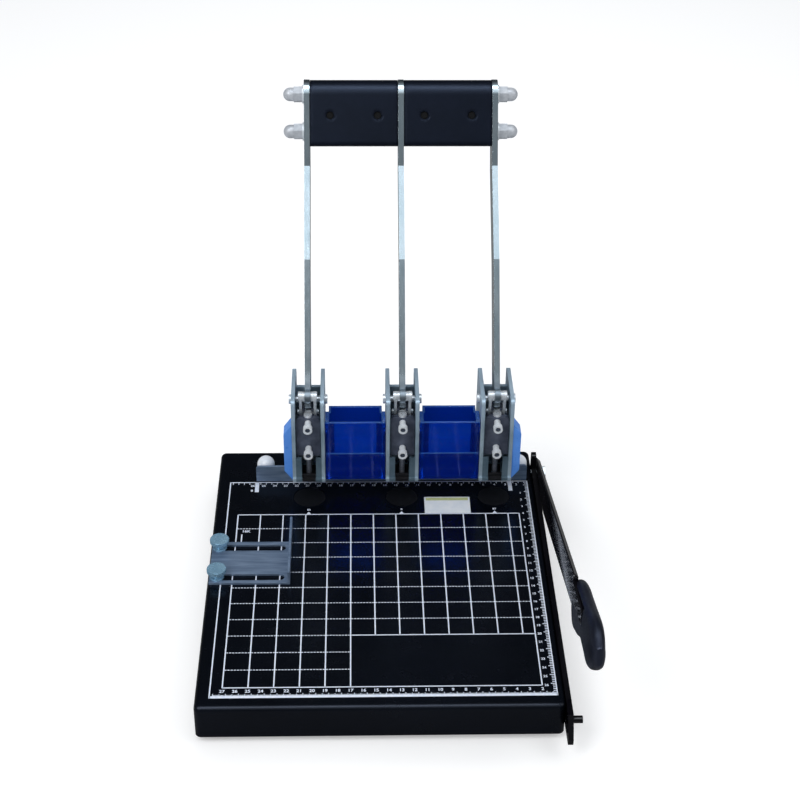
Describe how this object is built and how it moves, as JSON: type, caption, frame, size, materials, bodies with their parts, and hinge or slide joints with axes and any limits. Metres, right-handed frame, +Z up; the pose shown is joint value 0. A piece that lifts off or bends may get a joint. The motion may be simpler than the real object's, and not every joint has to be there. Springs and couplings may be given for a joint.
{
  "type": "paper drill",
  "caption": "Lever paper drill with a row of punch stations worked by one handle, chip boxes, sliding fence, side guide and a side trimmer knife on a grid table.",
  "frame": {"origin": "on the desk plane, under the centre of the base tray's footprint", "axes": "+X to the right along the row of punches, +Y to the back towards the lever, +Z up"},
  "size_m": [0.3069, 0.51, 0.3628],
  "materials": {
    "black_enamel": "glossy stoved enamel",
    "foot_rubber": "matt",
    "disc_black": "fine turned nylon",
    "zinc_steel": "bluish zinc plate",
    "black_plastic": "moulded",
    "bright_steel": "polished plating",
    "ram_steel": "blackened steel",
    "handle_black": "satin",
    "clear_blue": "tinted clear moulding",
    "light_blue": "moulded",
    "grey_steel": "satin plating",
    "knob_white": "moulded",
    "knife_black": "glossy enamel",
    "grip_black": "soft moulded"
  },
  "bodies": {
    "base": {"base_tray": "black_enamel", "base_feet": "foot_rubber", "frame_screws": "bright_steel", "punch_frame_left": "zinc_steel", "stripper_left": "black_plastic", "pivot_pin_left": "bright_steel", "punch_frame_middle": "zinc_steel", "stripper_middle": "black_plastic", "pivot_pin_middle": "bright_steel", "punch_frame_right": "zinc_steel", "stripper_right": "black_plastic", "pivot_pin_right": "bright_steel", "box_pegs": "bright_steel", "end_cover_left": "light_blue", "end_cover_right": "light_blue", "cutter_bar": "black_enamel", "bar_screws": "bright_steel", "knife_pivot_bolt": "bright_steel", "knife_washer": "bright_steel", "knife_nut": "bright_steel", "rail_peg": "bright_steel"},
    "lever": {"lever_arm_left": "zinc_steel", "lever_arm_middle": "zinc_steel", "lever_arm_right": "zinc_steel", "handle_grip_left": "handle_black", "handle_grip_right": "handle_black", "handle_rods": "bright_steel", "handle_washers": "bright_steel", "handle_dome_nuts": "bright_steel", "grip_screws": "black_plastic"},
    "link_left": {"links_left": "bright_steel", "link_pins_left": "bright_steel"},
    "ram_left": {"ram_left": "ram_steel", "punch_left": "bright_steel", "ram_screws_left": "bright_steel"},
    "disc_left": {"cutting_disc_left": "disc_black"},
    "link_middle": {"links_middle": "bright_steel", "link_pins_middle": "bright_steel"},
    "ram_middle": {"ram_middle": "ram_steel", "punch_middle": "bright_steel", "ram_screws_middle": "bright_steel"},
    "disc_middle": {"cutting_disc_middle": "disc_black"},
    "link_right": {"links_right": "bright_steel", "link_pins_right": "bright_steel"},
    "ram_right": {"ram_right": "ram_steel", "punch_right": "bright_steel", "ram_screws_right": "bright_steel"},
    "disc_right": {"cutting_disc_right": "disc_black"},
    "fence": {"paper_fence": "grey_steel"},
    "fence_knob_left": {"fence_knob_left": "knob_white"},
    "fence_knob_right": {"fence_knob_right": "knob_white"},
    "guide": {"side_guide": "grey_steel"},
    "thumb_rear": {"thumb_screw_rear": "bright_steel"},
    "thumb_front": {"thumb_screw_front": "bright_steel"},
    "box_left": {"chip_box_left": "clear_blue"},
    "box_right": {"chip_box_right": "clear_blue"},
    "knife": {"knife_blade": "knife_black", "knife_grip": "grip_black"}
  },
  "joints": [
    {"name": "lever_pull", "type": "hinge", "parent": "base", "child": "lever", "pos_m": [0.023, 0.12, 0.128], "axis": [1, 0, 0], "range_deg": [0, 90]},
    {"name": "link_left_turn", "type": "hinge", "parent": "lever", "child": "link_left", "pos_m": [-0.06, 0.10848, 0.13837], "axis": [1, 0, 0], "range_deg": [-90, 0]},
    {"name": "ram_left_slide", "type": "slide", "parent": "base", "child": "ram_left", "axis": [0, 0, -1], "range_m": [0, 0.022]},
    {"name": "disc_left_turn", "type": "hinge", "parent": "base", "child": "disc_left", "pos_m": [-0.06, 0.0985, 0.036], "axis": [0, 0, 1], "continuous": true},
    {"name": "link_middle_turn", "type": "hinge", "parent": "lever", "child": "link_middle", "pos_m": [0.023, 0.10848, 0.13837], "axis": [1, 0, 0], "range_deg": [-90, 0]},
    {"name": "ram_middle_slide", "type": "slide", "parent": "base", "child": "ram_middle", "axis": [0, 0, -1], "range_m": [0, 0.022]},
    {"name": "disc_middle_turn", "type": "hinge", "parent": "base", "child": "disc_middle", "pos_m": [0.023, 0.0985, 0.036], "axis": [0, 0, 1], "continuous": true},
    {"name": "link_right_turn", "type": "hinge", "parent": "lever", "child": "link_right", "pos_m": [0.106, 0.10848, 0.13837], "axis": [1, 0, 0], "range_deg": [-90, 0]},
    {"name": "ram_right_slide", "type": "slide", "parent": "base", "child": "ram_right", "axis": [0, 0, -1], "range_m": [0, 0.022]},
    {"name": "disc_right_turn", "type": "hinge", "parent": "base", "child": "disc_right", "pos_m": [0.106, 0.0985, 0.036], "axis": [0, 0, 1], "continuous": true},
    {"name": "fence_slide", "type": "slide", "parent": "base", "child": "fence", "axis": [0, 1, 0], "range_m": [-0.011, 0]},
    {"name": "fence_knob_left_turn", "type": "hinge", "parent": "base", "child": "fence_knob_left", "pos_m": [-0.1004, 0.1335, 0.036], "axis": [0, 0, 1], "range_deg": [0, 360]},
    {"name": "fence_knob_right_turn", "type": "hinge", "parent": "base", "child": "fence_knob_right", "pos_m": [0.1306, 0.1335, 0.036], "axis": [0, 0, 1], "range_deg": [0, 360]},
    {"name": "guide_slide", "type": "slide", "parent": "base", "child": "guide", "axis": [1, 0, 0], "range_m": [-0.051, 0]},
    {"name": "thumb_rear_turn", "type": "hinge", "parent": "base", "child": "thumb_rear", "pos_m": [-0.1357, 0.024, 0.036], "axis": [0, 0, 1], "range_deg": [0, 360]},
    {"name": "thumb_front_turn", "type": "hinge", "parent": "base", "child": "thumb_front", "pos_m": [-0.1357, -0.0155, 0.036], "axis": [0, 0, 1], "range_deg": [0, 360]},
    {"name": "chip_box_left_lift", "type": "slide", "parent": "base", "child": "box_left", "axis": [0, 0, 1], "range_m": [0, 0.07]},
    {"name": "chip_box_right_lift", "type": "slide", "parent": "base", "child": "box_right", "axis": [0, 0, 1], "range_m": [0, 0.07]},
    {"name": "knife_swing", "type": "hinge", "parent": "base", "child": "knife", "pos_m": [0.1483, 0.141, 0.0295], "axis": [1, 0, 0], "range_deg": [-57, 13]}
  ],
  "couplings": [
    {"joint": "link_left_turn", "follows": "lever_pull", "ratio": -1},
    {"joint": "ram_left_slide", "follows": "lever_pull", "m_per_rad": 0.013936},
    {"joint": "link_middle_turn", "follows": "lever_pull", "ratio": -1},
    {"joint": "ram_middle_slide", "follows": "lever_pull", "m_per_rad": 0.013936},
    {"joint": "link_right_turn", "follows": "lever_pull", "ratio": -1},
    {"joint": "ram_right_slide", "follows": "lever_pull", "m_per_rad": 0.013936}
  ]
}
